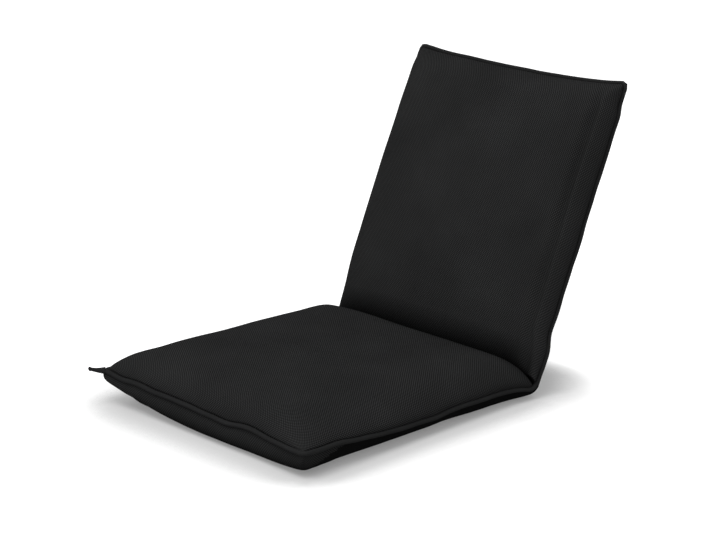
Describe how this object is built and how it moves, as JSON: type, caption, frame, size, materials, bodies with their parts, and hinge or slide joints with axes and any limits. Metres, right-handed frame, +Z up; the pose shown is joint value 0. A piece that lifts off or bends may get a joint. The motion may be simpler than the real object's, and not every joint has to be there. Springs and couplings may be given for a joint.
{
  "type": "folding floor chair",
  "caption": "Legless folding floor chair: padded seat and backrest with fabric covers, joined by ratchet hinges that hold the back at several angles.",
  "frame": {"origin": "on the floor, below the middle of the chair as it stands in use", "axes": "+Z up, +X to the sitter's left, +Y from the seat towards the backrest"},
  "size_m": [0.427, 0.6718, 0.4364],
  "materials": {
    "mesh_fabric": "black spacer mesh with a fine diagonal honeycomb",
    "lining_fabric": "black plain woven backing cloth",
    "piping": "black corded piping",
    "foam": "open-cell polyurethane foam",
    "webbing": "elastic webbing",
    "frame_paint": "black powder coat",
    "hinge_steel": "zinc-plated pressed steel",
    "spring_steel": "blued spring steel",
    "rivet_steel": "plated rivets"
  },
  "bodies": {
    "seat": {"seat_foam": "foam", "seat_cover_top": "mesh_fabric", "seat_cover_underside": "lining_fabric", "seat_piping": "piping", "seat_frame_tube": "frame_paint", "seat_cross_bar": "frame_paint", "seat_straps": "webbing", "seat_tube_rivets": "rivet_steel", "hinge_inner_cheek_left": "hinge_steel", "hinge_inner_cheek_right": "hinge_steel", "hinge_outer_cheek_left": "hinge_steel", "hinge_outer_cheek_right": "hinge_steel", "seat_tube_plug_left": "hinge_steel", "seat_tube_plug_right": "hinge_steel", "pawl_spring_left": "spring_steel", "pawl_spring_right": "spring_steel", "hinge_pivot_pin_left": "rivet_steel", "hinge_pivot_pin_right": "rivet_steel", "pawl_pin_left": "rivet_steel", "pawl_pin_right": "rivet_steel", "cheek_rivets_left": "rivet_steel", "cheek_rivets_right": "rivet_steel"},
    "back": {"back_foam": "foam", "back_cover_front": "mesh_fabric", "back_cover_rear": "lining_fabric", "back_piping": "piping", "back_frame_tube": "frame_paint", "back_cross_bar": "frame_paint", "back_straps": "webbing", "back_tube_rivets": "rivet_steel", "gear_arm_left": "hinge_steel", "gear_arm_right": "hinge_steel"},
    "release_ring_left": {"release_ring_left": "hinge_steel"},
    "pawl_left": {"pawl_left": "hinge_steel"},
    "release_ring_right": {"release_ring_right": "hinge_steel"},
    "pawl_right": {"pawl_right": "hinge_steel"}
  },
  "joints": [
    {"name": "back_fold", "type": "hinge", "parent": "seat", "child": "back", "pos_m": [0, 0.1225, 0.022], "axis": [1, 0, 0], "range_deg": [-64, 80], "deforming": ["seat_foam", "seat_cover_top", "back_foam", "back_cover_front"]},
    {"name": "release_ring_turn_left", "type": "hinge", "parent": "seat", "child": "release_ring_left", "pos_m": [0, 0.1225, 0.022], "axis": [1, 0, 0], "range_deg": [-24, 0]},
    {"name": "pawl_drop_left", "type": "hinge", "parent": "seat", "child": "pawl_left", "pos_m": [0, 0.0965, 0.023], "axis": [1, 0, 0], "range_deg": [0, 8.5]},
    {"name": "release_ring_turn_right", "type": "hinge", "parent": "seat", "child": "release_ring_right", "pos_m": [0, 0.1225, 0.022], "axis": [1, 0, 0], "range_deg": [-24, 0]},
    {"name": "pawl_drop_right", "type": "hinge", "parent": "seat", "child": "pawl_right", "pos_m": [0, 0.0965, 0.023], "axis": [1, 0, 0], "range_deg": [0, 8.5]}
  ],
  "couplings": [
    {"joint": "pawl_drop_left", "follows": "release_ring_turn_left", "ratio": -0.35417},
    {"joint": "pawl_drop_right", "follows": "release_ring_turn_right", "ratio": -0.35417}
  ]
}
